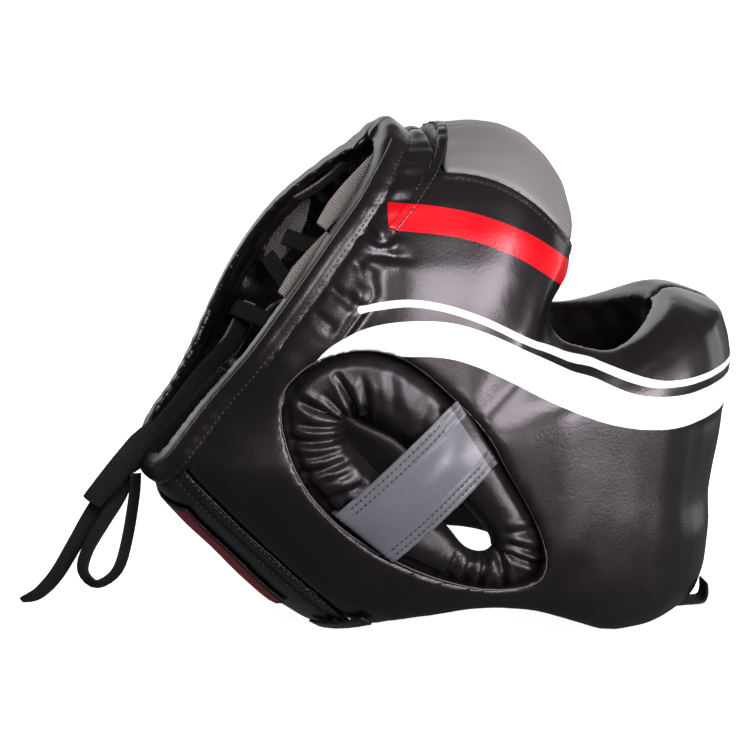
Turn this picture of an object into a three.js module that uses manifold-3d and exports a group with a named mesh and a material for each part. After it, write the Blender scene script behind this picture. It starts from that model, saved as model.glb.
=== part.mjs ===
// Padded boxing headgear with a face bar, laced crown and hook-and-loop back.
// Millimetres. X points forward, Y to the wearer's left, Z up. It rests on Z = 0.

import * as THREE from 'three';
import { mergeVertices } from 'three/addons/utils/BufferGeometryUtils.js';
import Module from 'manifold-3d';

const wasm = await Module();
wasm.setup();

// Driving dimensions
const earAxis = { x: -27, z: 91 };   // the sideways axis through both ear openings
const halfWidth = 103;               // midline to the side, at the ears
const sideWall = 25;                 // padding at the ears
const edgeWall = 5;                  // wall left at a rolled edge
const seamGap = 0.3;                 // between neighbouring panels
const reach = 300;                   // cutting tools run this far past the object
const bindingWidth = 8.7;            // leather binding round the crown opening
const leather = 1.6;                 // one layer of folded leather trim
const trimLift = 0.5;                // trim lies this far off the skin
const tapeWidth = 5;
const strapThickness = 3;
const webbing = 1.6;                 // thickness of loops and lace
const laceWidth = 9;
const laceClearance = 0.74;          // between the loops and the lace below them
const loopWidth = 12;
const crownOutwards = { x: -0.79, z: 0.61 };   // the way out through the crown opening, in side view
const earHoleFrom = 45;              // the ear openings are cut outwards from this far off the midline
const tiltSweep = 178;               // degrees from ear to ear, just short of the ear axis at both ends

// Outer form: for each direction around the ear axis, the reach from the axis to the midline,
// the exponent of the arch from midline to ear, and the padding at the midline.
// The left side of the crown stands out further, by the lift in its rows.
// The angle is in degrees, 0 straight ahead and 90 straight up.
const outerForm = [
  { angle: -180, reach: 124, roundness: 2.4, wall: 8 },
  { angle: -171, reach: 119.5, roundness: 2.4, wall: 8 },
  { angle: -163, reach: 111.5, roundness: 2.4, wall: 8 },
  { angle: -151, reach: 102.5, roundness: 2.4, wall: 8 },
  { angle: -139, reach: 99.5, roundness: 2.4, wall: 9 },
  { angle: -128, reach: 99.5, roundness: 2.4, wall: 10 },
  { angle: -115, reach: 101, roundness: 2.4, wall: 12 },
  { angle: -102, reach: 101.5, roundness: 2.5, wall: 16 },
  { angle: -86, reach: 103.5, roundness: 2.8, wall: 20 },
  { angle: -65, reach: 115, roundness: 2.8, wall: 26 },
  { angle: -51, reach: 142, roundness: 2.5, wall: 32 },
  { angle: -44, reach: 173, roundness: 2.25, wall: 36 },
  { angle: -36, reach: 186, roundness: 2.2, wall: 38 },
  { angle: -28, reach: 184, roundness: 2.2, wall: 38 },
  { angle: -20, reach: 176.5, roundness: 2.2, wall: 38 },
  { angle: -10, reach: 171.5, roundness: 2.15, wall: 38 },
  { angle: 3, reach: 175, roundness: 2.1, wall: 38 },
  { angle: 14, reach: 179, roundness: 2.1, wall: 38 },
  { angle: 21, reach: 178, roundness: 2.1, wall: 37 },
  { angle: 27, reach: 158, roundness: 2.1, wall: 34 },
  { angle: 34, reach: 128, roundness: 2.15, wall: 22 },
  { angle: 40, reach: 119.5, roundness: 2.2, wall: 22.5 },
  { angle: 45, reach: 133, roundness: 2.2, wall: 29 },
  { angle: 50, reach: 144.5, roundness: 2.2, wall: 31 },
  { angle: 56, reach: 155.5, roundness: 2.15, wall: 32 },
  { angle: 65, reach: 164, roundness: 2.1, wall: 32 },
  { angle: 73, reach: 162, roundness: 2, wall: 30 },
  { angle: 80, reach: 157, roundness: 2, wall: 27 },
  { angle: 90, reach: 152.5, roundness: 2.05, wall: 22 },
  { angle: 106, reach: 132, roundness: 2.2, wall: 19.5, leftLift: 7 },
  { angle: 129, reach: 118, roundness: 2.2, wall: 17.5, leftLift: 8 },
  { angle: 143, reach: 116, roundness: 2.2, wall: 14, leftLift: 5 },
  { angle: 160, reach: 111, roundness: 2.2, wall: 10, leftLift: 3 },
  { angle: 172, reach: 117, roundness: 2.3, wall: 8, leftLift: 1 },
];

// Side-view outlines. Each is a run of points that a smooth curve passes through.
// The left crown edge stands out a little further than the right one.
const crownEdge = {
  right: [
    { x: -26, z: 243 }, { x: -45, z: 217 }, { x: -66, z: 191.5 }, { x: -96, z: 152.5 }, { x: -124, z: 115.5 },
    { x: -149, z: 82 },
  ],
  left: [
    { x: -26, z: 243 }, { x: -53, z: 220.5 }, { x: -75.5, z: 199.5 }, { x: -94, z: 172.5 }, { x: -107, z: 146 },
    { x: -119, z: 122 }, { x: -130, z: 103 }, { x: -149, z: 82 },
  ],
};
const eyeOpening = [
  { x: 66, z: 173 }, { x: 54, z: 168 }, { x: 46, z: 159 }, { x: 50, z: 148 }, { x: 60, z: 141 },
  { x: 74, z: 138 }, { x: 90, z: 141.5 }, { x: 106, z: 150 }, { x: 122, z: 158 }, { x: 140, z: 161 },
];
// The lower edge dips under the floor at the cheeks, so that they end there in a flat.
const lowerEdge = [
  { x: 132, z: 5 }, { x: 116, z: 3.2 }, { x: 101, z: 0 }, { x: 86, z: -1.5 }, { x: 72, z: 0 },
  { x: 50, z: 11 }, { x: 33, z: 16.5 }, { x: 7, z: 19 }, { x: -22, z: 15.5 }, { x: -46, z: 7 },
  { x: -60, z: 0 },
];
const browSeam = [
  { x: -5, z: 226.5 }, { x: 10, z: 225 }, { x: 24, z: 220.5 }, { x: 38, z: 211.5 }, { x: 50, z: 200 },
  { x: 58, z: 191 }, { x: 65, z: 182 },
];
const rearSeam = [{ x: -133, z: 90 }, { x: -97, z: 53 }, { x: -63, z: 21 }, { x: -46, z: 2 }];
const collarTape = [{ x: 2, z: 246 }, { x: -6.6, z: 232 }, { x: -19.8, z: 217.5 }, { x: -33, z: 204 }];
// Where each outline runs on past the object, before its first point and after its last one.
const runOuts = {
  crown: {
    before: [{ x: -reach, z: reach }, { x: 28, z: reach }],
    after: [{ x: -180, z: 36 }, { x: -reach, z: 36 }],
  },
  eye: { before: [{ x: reach, z: 175 }], after: [{ x: reach, z: 161 }] },
  lower: {
    before: [{ x: reach, z: -reach }, { x: reach, z: 9 }],
    after: [{ x: -reach, z: 0 }, { x: -reach, z: -reach }],
  },
  brow: { before: [{ x: -8, z: reach }], after: [{ x: 90, z: 168 }, { x: reach, z: reach }] },
  rear: {
    before: [{ x: -reach, z: 140 }, { x: -160, z: 120 }],
    after: [{ x: -40, z: -reach }, { x: -reach, z: -reach }],
  },
};
// Points along each smooth curve.
const curveSteps = { crown: 18, eye: 26, lower: 24, brow: 14, rear: 8, tape: 14, hemTab: 6, chinTab: 12 };

// Ear opening in side view: the edge of the opening and, in the same row, the inner edge of its pad.
const earRim = [
  { x: -44, z: 52.5, padX: -36, padZ: 81 },
  { x: -63, z: 67.5, padX: -50, padZ: 96 },
  { x: -78, z: 85.5, padX: -60, padZ: 106 },
  { x: -86, z: 105, padX: -64, padZ: 113 },
  { x: -86.5, z: 128, padX: -62, padZ: 118 },
  { x: -70, z: 144, padX: -54, padZ: 122 },
  { x: -47, z: 149, padX: -45, padZ: 117 },
  { x: -25, z: 141, padX: -35, padZ: 107 },
  { x: 4, z: 113, padX: -13, padZ: 86 },
  { x: 18, z: 89.5, padX: 1, padZ: 72 },
  { x: 30.5, z: 67, padX: 11, padZ: 60 },
  { x: 37, z: 47, padX: 14, padZ: 52 },
  { x: 32.5, z: 34.5, padX: 9, padZ: 46 },
  { x: 14.5, z: 31.5, padX: 1, padZ: 48 },
  { x: -5, z: 35.5, padX: -7, padZ: 54 },
  { x: -25, z: 43, padX: -20, padZ: 66 },
];
// Section of the ear pad: share of the way in from the rim, and depth below the outer form.
const earPadSection = [
  { share: 0.03, depth: 23 }, { share: 0.05, depth: 16 }, { share: 0.22, depth: 9 }, { share: 0.5, depth: 6.5 },
  { share: 0.8, depth: 9 }, { share: 1, depth: 16 }, { share: 0.9, depth: 23 }, { share: 0.5, depth: 25 },
];
const rimSteps = 40;
// Ear straps: both ends of each in side view. The left one is sewn a little further forward and lower.
const strapEnds = {
  right: { lowX: -47, lowZ: 64, highX: 0, highZ: 108 },
  left: { lowX: -37, lowZ: 59.5, highX: 6.5, highZ: 97 },
};
const earStrap = { width: 37, depth: 2.6, turnIn: 9, turnOut: 1.2, clearance: 0.4 };

// Webbing loops under the crown edge: place along the edge, from 0 at the front to 1 at the back,
// and depth below the skin, to the loop's outer face.
const laceLoops = [{ along: 0.18, depth: 6.5 }, { along: 0.4, depth: 6.1 }, { along: 0.64, depth: 5.9 }];
const loopLength = 34;
const loopBulge = 2;
const loopShow = 1;                  // the middle of a loop lies this far off the edge
const crossTuck = -4;                // crossing laces end this far off the edge, under the panel
const endShift = 20;                 // the last laces start this far past the middle of the last loop,
const endTuck = 2.4;                 // this far off the edge,
const endDrop = 2.1;                 // and this far below the loop's outer face
// The lace between the loops: the loop and the shift along it at each end,
// and how far it rides over or under the strand that it crosses.
const laceRuns = [
  { right: 0, rightShift: -7, left: 0, leftShift: -7, over: 0 },
  { right: 0, rightShift: 7, left: 1, leftShift: -7, over: 2.5 },
  { right: 1, rightShift: -7, left: 0, leftShift: 7, over: -2.5 },
  { right: 1, rightShift: 7, left: 2, leftShift: -7, over: 1.8 },
  { right: 2, rightShift: -7, left: 1, leftShift: 7, over: -4.6 },
];
const knot = { x: -157, y: -3, z: 81, radiusX: 6, radiusY: 9.5, radiusZ: 6.5, spread: 3 };
// Route of the free end and of the free loop of the lace, both from the knot.
const laceTail = [
  { x: -158, y: 2, z: 78 }, { x: -162, y: 4, z: 66 }, { x: -171, y: 5, z: 52 }, { x: -179, y: 9, z: 37 },
  { x: -185, y: 16, z: 24 }, { x: -193, y: 25, z: 9 }, { x: -200, y: 29, z: 3 }, { x: -208, y: 28, z: 1.6 },
];
const laceBow = [
  { x: -155, y: -10, z: 78 }, { x: -153.5, y: -11, z: 68 }, { x: -155, y: -11, z: 51 },
  { x: -160, y: -9, z: 31 }, { x: -165, y: -6, z: 20 }, { x: -171.5, y: -3, z: 16 },
  { x: -177, y: -1, z: 22 }, { x: -174.5, y: -2, z: 37 }, { x: -165, y: -3, z: 56 },
  { x: -158, y: -3, z: 76 },
];
const laceSection = { width: 8, thickness: 1.8, sides: 8 };
const laceSteps = { tail: 14, bow: 24 };
const chinTab = [
  { x: 134.6, z: 12 }, { x: 135, z: 6.6 }, { x: 133.8, z: 2.6 }, { x: 130.5, z: 1.7 }, { x: 118, z: 1.3 },
];
const chinTabPlace = { y: -24, width: 15 };
const closureFlap = { fromAngle: -167, toAngle: -127, halfSpan: 52, sideLean: 0.75 };
const hemTab = [{ x: -68, z: 6.5 }, { x: -58, z: 9 }, { x: -46, z: 14.5 }];
const hemTabWidth = 8;

const finishes = {
  blackLeather: { color: 0x1b181a, roughness: 0.42, metalness: 0 },
  greyLeather: { color: 0x76727a, roughness: 0.45, metalness: 0 },
  strapLeather: { color: 0x6a6b72, roughness: 0.4, metalness: 0 },
  redPrint: { color: 0xc8141f, roughness: 0.45, metalness: 0 },
  blackWebbing: { color: 0x141314, roughness: 0.85, metalness: 0 },
};

const degrees = Math.PI / 180;
const model = new THREE.Group();

// Reads a column of the outer form at an angle, with a smooth curve through the rows.
function formValue(column, angle) {
  const turn = 360;
  const rows = outerForm.length;
  let i = 0;
  while (i < rows - 1 && outerForm[i + 1].angle <= angle) i += 1;
  const row = (k) => outerForm[((k % rows) + rows) % rows];
  const at = (k) => row(k).angle + turn * Math.floor(k / rows);
  const value = (k) => row(k)[column] ?? 0;
  const slope = (k) => (value(k + 1) - value(k - 1)) / (at(k + 1) - at(k - 1));
  const span = at(i + 1) - at(i);
  const t = (angle - at(i)) / span;
  const h = [2 * t ** 3 - 3 * t ** 2 + 1, t ** 3 - 2 * t ** 2 + t, 3 * t ** 2 - 2 * t ** 3, t ** 3 - t ** 2];
  return h[0] * value(i) + h[1] * span * slope(i) + h[2] * value(i + 1) + h[3] * span * slope(i + 1);
}

function midlineReach(angle, side) {
  return formValue('reach', angle) + (side > 0 ? formValue('leftLift', angle) : 0);
}

// A smooth curve through two columns of side-view rows.
function sideCurve(rows, acrossColumn = 'x', upColumn = 'z') {
  return new THREE.SplineCurve(rows.map((row) => new THREE.Vector2(row[acrossColumn], row[upColumn])));
}

const curveThrough = (rows, steps) => sideCurve(rows).getPoints(steps);

// The same curve, running out past the object before and after it, closed as an area.
function areaBeyond(curve, { before, after }) {
  return [...before, ...curve, ...after].map((p) => new THREE.Vector2(p.x, p.y ?? p.z));
}

const crownAreas = [crownEdge.right, crownEdge.left].map(
  (rows) => areaBeyond(curveThrough(rows, curveSteps.crown), runOuts.crown),
);
const eyeArea = areaBeyond(curveThrough(eyeOpening, curveSteps.eye), runOuts.eye);
const onFloor = (p) => new THREE.Vector2(p.x, Math.max(0, p.y));
const lowerArea = areaBeyond(curveThrough(lowerEdge, curveSteps.lower).map(onFloor), runOuts.lower);
const browArea = areaBeyond(curveThrough(browSeam, curveSteps.brow), runOuts.brow);
const rearArea = areaBeyond(curveThrough(rearSeam, curveSteps.rear), runOuts.rear);

function inside(area, x, z) {
  let odd = false;
  for (let i = 0, j = area.length - 1; i < area.length; j = i, i += 1) {
    const a = area[i];
    const b = area[j];
    if (a.y > z !== b.y > z && x < ((b.x - a.x) * (z - a.y)) / (b.y - a.y) + a.x) odd = !odd;
  }
  return odd;
}

// Distance in side view from a kept point to an area that is cut away, 0 inside that area.
function clearOf(area, x, z) {
  if (inside(area, x, z)) return 0;
  let best = Infinity;
  for (let i = 0, j = area.length - 1; i < area.length; j = i, i += 1) {
    const a = area[j];
    const b = area[i];
    const dx = b.x - a.x;
    const dz = b.y - a.y;
    const t = Math.min(1, Math.max(0, ((x - a.x) * dx + (z - a.y) * dz) / (dx * dx + dz * dz)));
    best = Math.min(best, Math.hypot(x - a.x - t * dx, z - a.y - t * dz));
  }
  return best;
}

// Rolled edges: how far in from each cut edge the padding thins, how full the roll is (1 is a wedge,
// 2 a round), and the share that is taken from outside.
const rolledEdges = [
  { areas: crownAreas, roll: 34, fullness: 1, fromOutside: 0.12 },
  { areas: [eyeArea, eyeArea], roll: 18, fullness: 2, fromOutside: 0.45 },
  { areas: [lowerArea, lowerArea], roll: 17, fullness: 2, fromOutside: 0.15 },
];

// A point of the padded wall: the outer and the inner skin at an angle and a tilt towards one ear.
function wallAt(angle, tilt) {
  const roundness = formValue('roundness', angle);
  const lean = Math.sin(tilt);
  const arch = Math.max(0, 1 - Math.abs(lean) ** roundness) ** (1 / roundness);
  const direction = { x: Math.cos(angle * degrees), z: Math.sin(angle * degrees) };
  const place = (r, y) => new THREE.Vector3(earAxis.x + direction.x * r, y, earAxis.z + direction.z * r);
  const midReach = midlineReach(angle, tilt);
  const wall = formValue('wall', angle);
  const outer = place(midReach * arch, halfWidth * lean);
  const inner = place((midReach - wall) * arch, (halfWidth - sideWall) * lean);
  const full = outer.distanceTo(inner);
  let skinIn = 0;
  let liningOut = 0;
  for (const edge of rolledEdges) {
    const area = edge.areas[outer.y < 0 ? 0 : 1];
    const near = Math.min(1, clearOf(area, outer.x, outer.z) / edge.roll);
    const share = (1 - (1 - near) ** edge.fullness) ** (1 / edge.fullness);
    const thinned = Math.min(1 - edgeWall / full, 1 - share);
    skinIn = Math.max(skinIn, thinned * edge.fromOutside);
    liningOut = Math.max(liningOut, thinned * (1 - edge.fromOutside));
  }
  const skin = outer.clone().lerp(inner, skinIn);
  const lining = outer.clone().lerp(inner, 1 - liningOut);
  return { skin, lining };
}

// The tilt at which one side of the outer form passes through a side-view point.
function tiltAt(x, z, side) {
  const angle = Math.atan2(z - earAxis.z, x - earAxis.x) / degrees;
  const roundness = formValue('roundness', angle);
  const share = Math.min(1, Math.hypot(z - earAxis.z, x - earAxis.x) / midlineReach(angle, side));
  return { angle, tilt: Math.asin((1 - share ** roundness) ** (1 / roundness)) };
}

// The skin over a side-view point on one side (1 is left, -1 right), with its outward normal.
function skinOver(x, z, side) {
  const { angle, tilt } = tiltAt(x, z, side);
  const step = 0.02;
  const at = (da, dt) => wallAt(angle + da, (tilt + dt) * side).skin;
  const point = at(0, 0);
  const up = at(step / degrees, 0).sub(at(-step / degrees, 0));
  const over = at(0, step).sub(at(0, -step));
  const normal = up.cross(over).normalize();
  const outwards = new THREE.Vector3(x - earAxis.x, point.y, z - earAxis.z);
  if (normal.dot(outwards) < 0) normal.negate();
  return { point, normal };
}

// A closed body through rings of points: each ring joins the next, and the ends are closed by fans.
function loft(rings, isLoop = false) {
  const count = rings[0].length;
  const points = rings.flat();
  const faces = [];
  const last = isLoop ? rings.length : rings.length - 1;
  for (let i = 0; i < last; i += 1) {
    const a = i * count;
    const b = ((i + 1) % rings.length) * count;
    for (let j = 0; j < count; j += 1) {
      const k = (j + 1) % count;
      faces.push(a + j, b + j, b + k, a + j, b + k, a + k);
    }
  }
  if (!isLoop) {
    const ends = [[rings[0], 0, false], [rings.at(-1), (rings.length - 1) * count, true]];
    for (const [ring, start, flip] of ends) {
      const middle = new THREE.Vector3();
      ring.forEach((p) => middle.addScaledVector(p, 1 / count));
      points.push(middle);
      for (let j = 0; j < count; j += 1) {
        const pair = [start + j, start + ((j + 1) % count)];
        faces.push(points.length - 1, ...(flip ? pair.reverse() : pair));
      }
    }
  }
  let volume = 0;
  for (let i = 0; i < faces.length; i += 3) {
    volume += points[faces[i]].dot(points[faces[i + 1]].clone().cross(points[faces[i + 2]]));
  }
  if (volume < 0) faces.reverse();
  const geometry = new THREE.BufferGeometry().setFromPoints(points);
  geometry.setIndex(faces);
  return geometry;
}

function solid(geometry) {
  const plain = geometry.clone();
  plain.deleteAttribute('normal');
  plain.deleteAttribute('uv');
  const merged = mergeVertices(plain, 1e-4);
  return new wasm.Manifold(new wasm.Mesh({
    numProp: 3,
    vertProperties: Float32Array.from(merged.attributes.position.array),
    triVerts: Uint32Array.from(merged.index.array),
  }));
}

function addPiece(name, body, finish) {
  const mesh = body.getMesh();
  const geometry = new THREE.BufferGeometry();
  geometry.setAttribute('position', new THREE.BufferAttribute(mesh.vertProperties, mesh.numProp));
  geometry.setIndex(new THREE.BufferAttribute(mesh.triVerts, 1));
  geometry.computeVertexNormals();
  const piece = new THREE.Mesh(geometry, new THREE.MeshStandardMaterial(finishes[finish]));
  piece.name = name;
  model.add(piece);
}

// A side-view area swept sideways, from one Y to another.
function sweptArea(area, fromY, toY) {
  const geometry = new THREE.ExtrudeGeometry(new THREE.Shape(area), {
    depth: toY - fromY, steps: 1, bevelEnabled: false,
  });
  geometry.rotateX(Math.PI / 2);
  geometry.translate(0, toY, 0);
  return solid(geometry);
}

// Cutting tools right across the object. A pair has one outline for each side,
// and the right one reaches a little past the midline.
const pairOverlap = 8;
const acrossAll = (area) => sweptArea(area, -reach, reach);
const acrossPair = ([right, left]) => sweptArea(right, -reach, pairOverlap).add(sweptArea(left, 0, reach));
const moved = (area, dx, dz) => area.map((p) => new THREE.Vector2(p.x + dx, p.y + dz));
const offCrown = (area, distance) => moved(area, -distance * crownOutwards.x, -distance * crownOutwards.z);

function sideSpace(side) {
  const box = new THREE.BoxGeometry(2 * reach, reach, 2 * reach);
  box.translate(0, side * (reach / 2 + seamGap / 2), 0);
  return solid(box);
}

// A flat strip along rows of { point, across }, lying between two heights over the rows.
function strip(rows, width, low, high) {
  const rings = rows.map((row, i) => {
    const before = rows[Math.max(0, i - 1)].point;
    const after = rows[Math.min(rows.length - 1, i + 1)].point;
    const along = after.clone().sub(before).normalize();
    const across = row.across.clone().addScaledVector(along, -along.dot(row.across)).normalize();
    const up = row.up ?? along.clone().cross(across).normalize();
    const corner = (u, v) => row.point.clone().addScaledVector(across, (u * width) / 2).addScaledVector(up, v);
    return [corner(-1, low), corner(1, low), corner(1, high), corner(-1, high)];
  });
  return loft(rings);
}

// A strip of trim that lies on the skin, through places that skinOver gives.
function trimOnSkin(places, width, lift, thickness) {
  const path = places.map(({ point, normal }, i) => {
    const before = places[Math.max(0, i - 1)].point;
    const after = places[Math.min(places.length - 1, i + 1)].point;
    const across = normal.clone().cross(after.clone().sub(before)).normalize();
    return { point, across, up: normal };
  });
  return solid(strip(path, width, lift, lift + thickness));
}

// Angles round the ear axis, closer together where the reach is long.
function formAngles() {
  const angles = [];
  const cell = 13;
  const leastStep = 1.5;
  let angle = -180;
  while (angle < 180 - leastStep) {
    angles.push(angle);
    angle += cell / formValue('reach', angle) / degrees;
  }
  return angles;
}

// The padded wall as one hollow body, before it is cut into panels.
function paddedWall() {
  const angles = formAngles();
  const slices = 24;
  const skin = [];
  const lining = [];
  for (let i = 0; i <= slices; i += 1) {
    const tilt = (i / slices - 0.5) * tiltSweep * degrees;
    const ring = angles.map((angle) => wallAt(angle, tilt));
    skin.push(ring.map((wall) => wall.skin));
    lining.push(ring.map((wall) => wall.lining));
  }
  const hollow = solid(loft(skin)).subtract(solid(loft(lining)));
  return hollow.subtract(acrossPair(crownAreas)).subtract(acrossAll(eyeArea)).subtract(acrossAll(lowerArea));
}

const sides = [{ name: 'right', side: -1 }, { name: 'left', side: 1 }];
const half = seamGap / 2;

// The wall is cut into panels. The binding is the strip of it next to the crown opening.
const wall = paddedWall();
const binding = wall.intersect(acrossPair(crownAreas.map((area) => offCrown(area, bindingWidth))));
const panels = wall.subtract(acrossPair(crownAreas.map((area) => offCrown(area, bindingWidth + seamGap))));
const brow = panels.intersect(acrossAll(moved(browArea, half, half)));
const rear = panels.intersect(acrossAll(moved(rearArea, -half, -half)));
const flanks = panels
  .subtract(acrossAll(moved(browArea, -half, -half)))
  .subtract(acrossAll(moved(rearArea, half, half)));

addPiece('forehead_panel', brow, 'greyLeather');
addPiece('crown_binding', binding, 'blackLeather');
addPiece('rear_panel', rear, 'blackLeather');

// A closed line round the ear opening, through two columns of its table.
function rimLine(acrossColumn, upColumn) {
  return sideCurve([...earRim, earRim[0]], acrossColumn, upColumn).getPoints(rimSteps);
}

// Ear pad: a soft ring that fills the ear opening below the skin.
function earPad(side) {
  const outline = rimLine('x', 'z').slice(0, -1);
  const hole = rimLine('padX', 'padZ');
  const rings = outline.map((edge, i) => earPadSection.map(({ share, depth }) => {
    const p = edge.clone().lerp(hole[i], share);
    const { tilt } = tiltAt(p.x, p.y, side);
    return new THREE.Vector3(p.x, side * (halfWidth * Math.sin(tilt) - depth), p.y);
  }));
  return solid(loft(rings, true));
}

// Ear strap: spans the opening just below the skin, with both ends turned in.
function earStrapBody(side, clearance) {
  const { lowX, lowZ, highX, highZ } = side < 0 ? strapEnds.right : strapEnds.left;
  const low = new THREE.Vector2(lowX, lowZ);
  const span = new THREE.Vector2(highX, highZ).sub(low);
  const sideways = new THREE.Vector3(-span.y, 0, span.x).normalize();
  const steps = 10;
  const rows = [];
  for (let i = 0; i <= steps; i += 1) {
    const p = low.clone().addScaledVector(span, i / steps);
    const { tilt } = tiltAt(p.x, p.y, side);
    rows.push(new THREE.Vector3(p.x, side * (halfWidth * Math.sin(tilt) - earStrap.depth), p.y));
  }
  const turn = (end, next) => {
    const back = end.clone().addScaledVector(end.clone().sub(next).normalize(), earStrap.turnOut);
    return back.setY(back.y - side * earStrap.turnIn);
  };
  const path = [turn(rows[0], rows[1]), ...rows, turn(rows.at(-1), rows.at(-2))];
  const placed = path.map((point) => ({ point, across: sideways }));
  const heights = side > 0 ? [0, strapThickness] : [-strapThickness, 0];
  const grown = [heights[0] - clearance, heights[1] + clearance];
  return solid(strip(placed, earStrap.width + 2 * clearance, ...grown));
}

for (const { name, side } of sides) {
  const rim = rimLine('x', 'z');
  const earHole = side < 0 ? sweptArea(rim, -reach, -earHoleFrom) : sweptArea(rim, earHoleFrom, reach);
  addPiece(`shell_${name}`, flanks.intersect(sideSpace(side)).subtract(earHole), 'blackLeather');
  addPiece(`ear_pad_${name}`, earPad(side).subtract(earStrapBody(side, earStrap.clearance)), 'blackLeather');
  addPiece(`ear_strap_${name}`, earStrapBody(side, 0), 'strapLeather');
}

// Collar tape: one strip over the top, from side to side behind the forehead panel.
const tapeCurve = curveThrough(collarTape, curveSteps.tape);
const tapeSides = sides.map(({ side }) => tapeCurve.map((p) => skinOver(p.x, p.y, side)));
const tapePlaces = [...tapeSides[0].slice(1).reverse(), ...tapeSides[1]];
addPiece('collar_tape', trimOnSkin(tapePlaces, tapeWidth, trimLift, leather), 'blackLeather');

// Closure flap: a curved patch on the back panel.
function flapBody() {
  const alongSteps = 10;
  const acrossSteps = 8;
  const { fromAngle, toAngle, halfSpan, sideLean } = closureFlap;
  const rings = [];
  for (let i = 0; i <= acrossSteps; i += 1) {
    const y = halfSpan * ((2 * i) / acrossSteps - 1);
    const row = [];
    for (let j = 0; j <= alongSteps; j += 1) {
      const angle = fromAngle + ((toAngle - fromAngle) * j) / alongSteps;
      const lean = (sideLean * y) / halfWidth;
      const outwards = new THREE.Vector3(Math.cos(angle * degrees), lean, Math.sin(angle * degrees));
      row.push({ point: wallAt(angle, Math.asin(y / halfWidth)).skin, outwards: outwards.normalize() });
    }
    const at = (height) => row.map(({ point, outwards }) => point.clone().addScaledVector(outwards, height));
    rings.push([...at(trimLift), ...at(trimLift + leather).reverse()]);
  }
  return solid(loft(rings));
}
addPiece('closure_flap', flapBody(), 'redPrint');

for (const { name, side } of sides) {
  const places = curveThrough(hemTab, curveSteps.hemTab).map((p) => skinOver(p.x, p.y, side));
  addPiece(`hem_tab_${name}`, trimOnSkin(places, hemTabWidth, trimLift, leather), 'blackLeather');
}

const outOfCrown = new THREE.Vector3(crownOutwards.x, 0, crownOutwards.z);

// A place on the crown edge, with the outward normal there and the way off the panel.
function crownPlace(along, shift, side) {
  const curve = sideCurve(side < 0 ? crownEdge.right : crownEdge.left);
  const share = along + shift / curve.getLength();
  const step = 0.01;
  const on = (t) => {
    const p = curve.getPointAt(t);
    return skinOver(p.x, p.y, side);
  };
  const { point, normal } = on(share);
  const tangent = on(share + step).point.sub(on(share - step).point).normalize();
  const off = normal.clone().cross(tangent).normalize();
  if (off.dot(outOfCrown) < 0) off.negate();
  return { point, normal, off };
}

// A point below the skin at such a place, and a given way off the edge of the panel.
function underEdge(place, depth, offEdge) {
  return place.point.clone().addScaledVector(place.normal, -depth).addScaledVector(place.off, offEdge);
}

// Webbing loop: lies under the crown edge and shows a little past it.
function loopBody(loop, side) {
  const steps = 8;
  const rows = [];
  for (let i = 0; i <= steps; i += 1) {
    const s = (2 * i) / steps - 1;
    const place = crownPlace(loop.along, (s * loopLength) / 2, side);
    const depth = loop.depth + loopBulge * (1 - s * s);
    rows.push({ point: underEdge(place, depth, loopShow), across: place.off, up: place.normal });
  }
  return solid(strip(rows, loopWidth, -webbing, 0));
}

// The end of a lace by a loop: a given way off the edge of the panel, and below the loop's outer face.
function laceEnd(index, shift, side, offEdge, below) {
  const loop = laceLoops[index];
  return underEdge(crownPlace(loop.along, shift, side), loop.depth + below, offEdge);
}

// A flat lace from one point to another, bowed up or down between them.
function laceBody(from, to, over) {
  const steps = 8;
  const across = outOfCrown.clone().cross(to.clone().sub(from)).normalize();
  const rows = [];
  for (let i = 0; i <= steps; i += 1) {
    const t = i / steps;
    const point = from.clone().lerp(to, t).addScaledVector(outOfCrown, over * Math.sin(Math.PI * t));
    rows.push({ point, across });
  }
  return solid(strip(rows, laceWidth, -webbing / 2, webbing / 2));
}

function knotBody(clearance) {
  const ball = new THREE.SphereGeometry(1, 12, 8);
  ball.scale(knot.radiusX + clearance, knot.radiusY + clearance, knot.radiusZ + clearance);
  ball.translate(knot.x, knot.y, knot.z);
  return solid(ball);
}

// A free length of lace along its route, as a tube of flat oval section.
function freeLace(route, steps) {
  const curve = new THREE.CatmullRomCurve3(route.map((p) => new THREE.Vector3(p.x, p.y, p.z)));
  const section = new THREE.Shape();
  for (let i = 0; i < laceSection.sides; i += 1) {
    const turn = (2 * Math.PI * i) / laceSection.sides;
    const corner = [(laceSection.width / 2) * Math.cos(turn), (laceSection.thickness / 2) * Math.sin(turn)];
    if (i === 0) section.moveTo(...corner);
    else section.lineTo(...corner);
  }
  section.closePath();
  return solid(new THREE.ExtrudeGeometry(section, { steps, extrudePath: curve }));
}

laceLoops.forEach((loop, i) => {
  sides.forEach(({ name, side }) => {
    addPiece(`lace_loop_${name}_${i + 1}`, loopBody(loop, side), 'blackWebbing');
  });
});
const underLoop = loopBulge + 1.5 * webbing + laceClearance;
laceRuns.forEach((run, i) => {
  const from = laceEnd(run.right, run.rightShift, -1, crossTuck, underLoop);
  const to = laceEnd(run.left, run.leftShift, 1, crossTuck, underLoop);
  addPiece(`lace_cross_${i + 1}`, laceBody(from, to, run.over), 'blackWebbing');
});
const aroundKnot = knotBody(seamGap);
const lastLoop = laceLoops.length - 1;
sides.forEach(({ name, side }) => {
  const middle = new THREE.Vector3(knot.x, knot.y + side * knot.spread, knot.z);
  const run = laceBody(laceEnd(lastLoop, endShift, side, endTuck, endDrop), middle, 0);
  addPiece(`lace_end_${name}`, run.subtract(aroundKnot), 'blackWebbing');
});
addPiece('lace_knot', knotBody(0), 'blackWebbing');
addPiece('lace_tail', freeLace(laceTail, laceSteps.tail).subtract(aroundKnot), 'blackWebbing');
addPiece('lace_bow', freeLace(laceBow, laceSteps.bow).subtract(aroundKnot), 'blackWebbing');

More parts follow.
